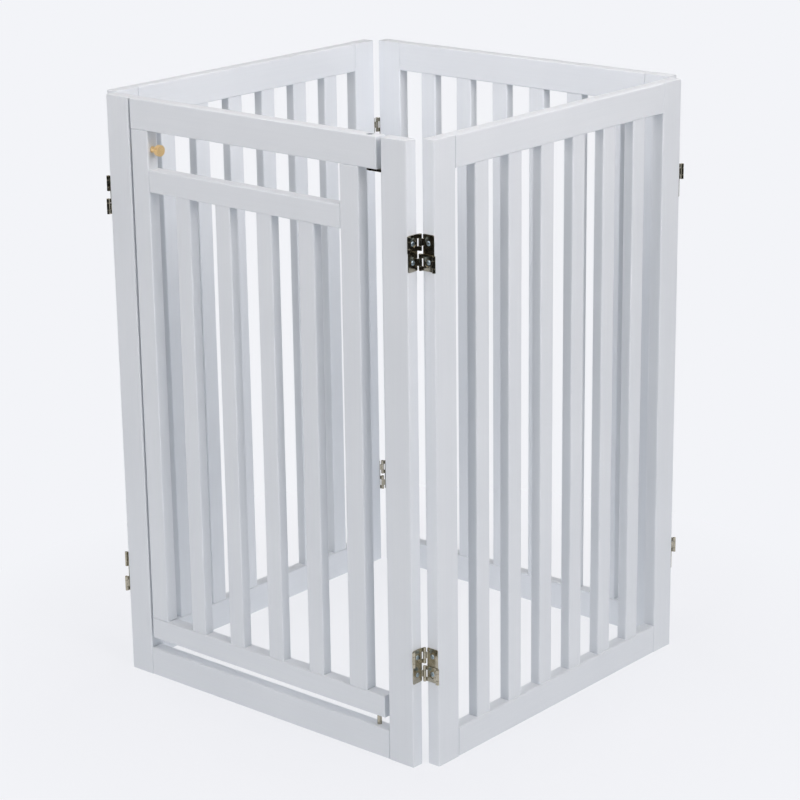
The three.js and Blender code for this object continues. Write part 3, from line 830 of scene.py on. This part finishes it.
def build_floor(radius=1.7, rings=24, segments=96):
    """A round floor that takes soft shadows near the pen and glows like the backdrop further out."""
    vertices, faces = [Vector((0, 0, 0))], []
    for ring in range(1, rings + 1):
        for k in range(segments):
            angle = 2 * math.pi * k / segments
            reach = radius * ring / rings
            vertices.append(Vector((reach * math.cos(angle), reach * math.sin(angle), 0)))
    for k in range(segments):
        faces.append((0, 1 + k, 1 + (k + 1) % segments))
    for ring in range(rings - 1):
        for k in range(segments):
            a = 1 + ring * segments + k
            b = 1 + ring * segments + (k + 1) % segments
            faces.append((a, a + segments, b + segments, b))
    floor = add_object("studio_floor", mesh_of("studio_floor", vertices, faces))
    floor.location.z = -FLOOR_DROP
    m = Nodes("pale_studio_floor")
    tree = m.tree
    lit = m.add("ShaderNodeBsdfDiffuse")
    lit.inputs["Color"].default_value = (0.86, 0.87, 0.90, 1)
    glow = m.add("ShaderNodeEmission")
    glow.inputs["Color"].default_value = (*BACKDROP, 1)
    length = m.add("ShaderNodeVectorMath", operation="LENGTH")
    m.link(m.place, length.inputs[0])
    share = m.between(length.outputs["Value"], 0.36, 0.7, 0.8, 1.0)
    blend = m.add("ShaderNodeMixShader")
    m.link(share, blend.inputs[0])
    m.link(lit.outputs[0], blend.inputs[1])
    m.link(glow.outputs[0], blend.inputs[2])
    tree.links.new(blend.outputs[0], tree.nodes["Material Output"].inputs["Surface"])
    tree.nodes.remove(m.shader)
    floor.data.materials.append(m.material)


def build_world():
    """The camera sees the backdrop, shiny surfaces a dimmer room, and all else a faint blue ambient."""
    world = bpy.data.worlds.new("studio")
    bpy.context.scene.world = world
    world.use_nodes = True
    tree = world.node_tree
    sky = tree.nodes["Background"]
    sky.inputs["Color"].default_value = (*BACKDROP, 1)
    room = tree.nodes.new("ShaderNodeBackground")
    place = tree.nodes.new("ShaderNodeTexCoord")
    split = tree.nodes.new("ShaderNodeSeparateXYZ")
    tree.links.new(place.outputs["Generated"], split.inputs[0])
    height = tree.nodes.new("ShaderNodeMapRange")
    for key, value in (("From Min", -0.05), ("From Max", 0.5), ("To Min", 0.015), ("To Max", 0.6)):
        height.inputs[key].default_value = value
    tree.links.new(split.outputs["Z"], height.inputs["Value"])
    room.inputs["Color"].default_value = (1.0, 0.97, 0.93, 1)
    tree.links.new(height.outputs["Result"], room.inputs["Strength"])
    path = tree.nodes.new("ShaderNodeLightPath")
    soft = tree.nodes.new("ShaderNodeBackground")
    soft.inputs["Color"].default_value = (0.80, 0.95, 1.0, 1)
    soft.inputs["Strength"].default_value = 0.078
    unseen = tree.nodes.new("ShaderNodeMixShader")
    tree.links.new(path.outputs["Is Glossy Ray"], unseen.inputs[0])
    tree.links.new(soft.outputs[0], unseen.inputs[1])
    tree.links.new(room.outputs[0], unseen.inputs[2])
    both = tree.nodes.new("ShaderNodeMixShader")
    tree.links.new(path.outputs["Is Camera Ray"], both.inputs[0])
    tree.links.new(unseen.outputs[0], both.inputs[1])
    tree.links.new(sky.outputs[0], both.inputs[2])
    tree.links.new(both.outputs[0], tree.nodes["World Output"].inputs["Surface"])


def add_softbox(name, azimuth, elevation, distance, aim_height, size, spread, watts):
    """A square soft light, aimed at a height on the pen's middle line. Angles are in degrees."""
    lamp = bpy.data.lights.new(name, "AREA")
    lamp.shape = "SQUARE"
    lamp.size = size
    lamp.spread = math.radians(spread)
    lamp.energy = watts
    lamp.color = LAMP_COLOUR
    turn, rise = math.radians(azimuth), math.radians(elevation)
    away = Vector((math.cos(rise) * math.cos(turn), math.cos(rise) * math.sin(turn), math.sin(rise)))
    held = add_object(name, lamp)
    held.location = Vector((0, 0, aim_height)) + distance * away
    held.rotation_euler = (-away).to_track_quat("-Z", "Y").to_euler()


def add_camera():
    """Stands where the photograph was taken from, level with a small tilt to one side."""
    turn, down, tilt = (math.radians(angle) for angle in (CAMERA_TURN, CAMERA_DOWN, CAMERA_TILT))
    ahead = Vector((math.cos(turn) * math.cos(down), math.sin(turn) * math.cos(down), -math.sin(down)))
    across = Vector((math.sin(turn), -math.cos(turn), 0))
    above = across.cross(ahead)
    right = math.cos(tilt) * across + math.sin(tilt) * above
    up = -math.sin(tilt) * across + math.cos(tilt) * above
    lens = bpy.data.cameras.new("photo_camera")
    lens.sensor_width = 36
    lens.lens = CAMERA_LENS
    lens.clip_start, lens.clip_end = 0.05, 50
    camera = add_object("photo_camera", lens)
    axes = Matrix((right, up, -ahead)).transposed().to_4x4()
    camera.matrix_world = Matrix.Translation(CAMERA_AT) @ axes
    bpy.context.scene.camera = camera


build_floor()
build_world()
for softbox in (
    # name, azimuth, elevation, distance, aim height, size, spread, watts
    ("front_key", -90, 24.1, 2.79, 0.9, 1.6, 70, 7.8),
    ("right_key", -10, 24.1, 2.79, 0.9, 1.6, 70, 6.7),
    ("right_fill", -10, 32, 3.0, 0.45, 1.6, 180, 6.5),
    ("right_far_fill", 50, 32, 3.0, 0.45, 1.6, 180, 4.9),
    ("front_left_near", -120, 42, 1.7, 0.6, 1.0, 180, 3.1),
    ("right_near_low", -15, 42, 1.7, 0.6, 1.0, 180, 3.6),
    ("right_near", 10, 42, 1.7, 0.6, 1.0, 180, 3.8),
    ("overhead", 0, 90, 1.35, 0.4, 0.9, 180, 1.9),
    ("back_key", 95, 18, 3.0, 0.45, 1.6, 180, 33.0),
    ("left_key", 175, 18, 3.0, 0.45, 1.6, 180, 33.0),
):
    add_softbox(*softbox)
add_camera()
bpy.context.scene.view_settings.view_transform = "Standard"
